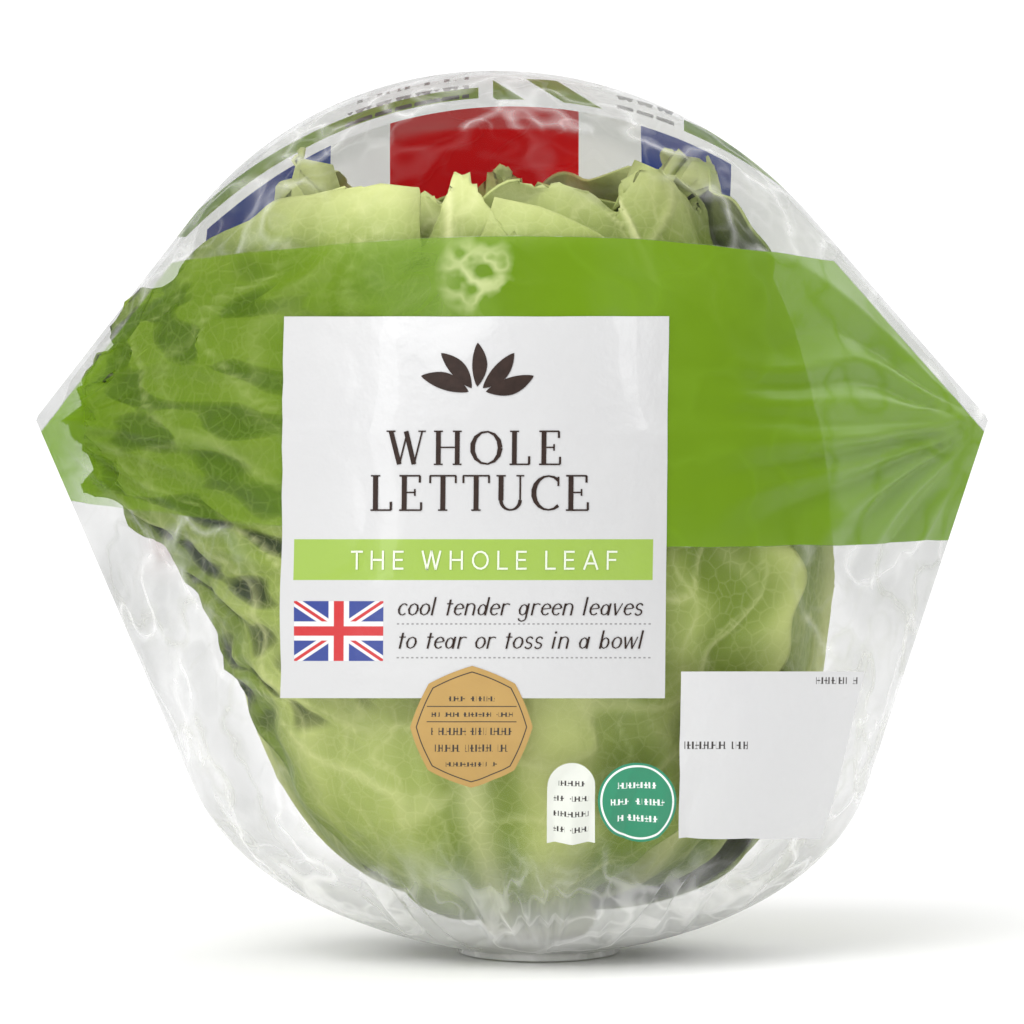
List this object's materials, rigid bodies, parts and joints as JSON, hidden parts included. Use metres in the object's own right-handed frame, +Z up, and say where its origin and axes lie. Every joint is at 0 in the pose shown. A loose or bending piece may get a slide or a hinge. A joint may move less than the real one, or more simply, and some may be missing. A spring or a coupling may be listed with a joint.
{
  "type": "head of lettuce in a film bag",
  "caption": "Butterhead lettuce, a rosette of cupped overlapping leaves on a short cut stem, inside a clear film bag with two pointed ears and a gathered base it stands on.",
  "frame": {"origin": "on the surface the bag stands on, under the middle of its box", "axes": "+Z up, +X to the right from ear to ear, the label's side faces -Y"},
  "size_m": [0.2, 0.132, 0.185],
  "materials": {
    "film": "thin clear polypropylene film, glossy, with printed areas",
    "outer_leaf": "fresh green leaf, softly waxy, with paler ribs",
    "middle_leaf": "lighter yellow-green leaf, softly waxy, with paler ribs",
    "heart_leaf": "pale yellow heart leaf, softly waxy",
    "stem": "cream stem, moist, browned a little at the cut"
  },
  "bodies": {
    "root": {"film_bag": "film", "heart_leaf_1": "heart_leaf", "heart_leaf_2": "heart_leaf", "heart_leaf_3": "heart_leaf", "heart_leaf_4": "heart_leaf", "heart_leaf_5": "heart_leaf", "heart_leaf_6": "heart_leaf", "middle_leaf_1": "middle_leaf", "middle_leaf_2": "middle_leaf", "middle_leaf_3": "middle_leaf", "middle_leaf_4": "middle_leaf", "middle_leaf_5": "middle_leaf", "middle_leaf_6": "middle_leaf", "middle_leaf_7": "middle_leaf", "outer_leaf_1": "outer_leaf", "outer_leaf_2": "outer_leaf", "outer_leaf_3": "outer_leaf", "outer_leaf_4": "outer_leaf", "outer_leaf_5": "outer_leaf", "outer_leaf_6": "outer_leaf", "outer_leaf_7": "outer_leaf", "stem": "stem"}
  },
  "joints": []
}
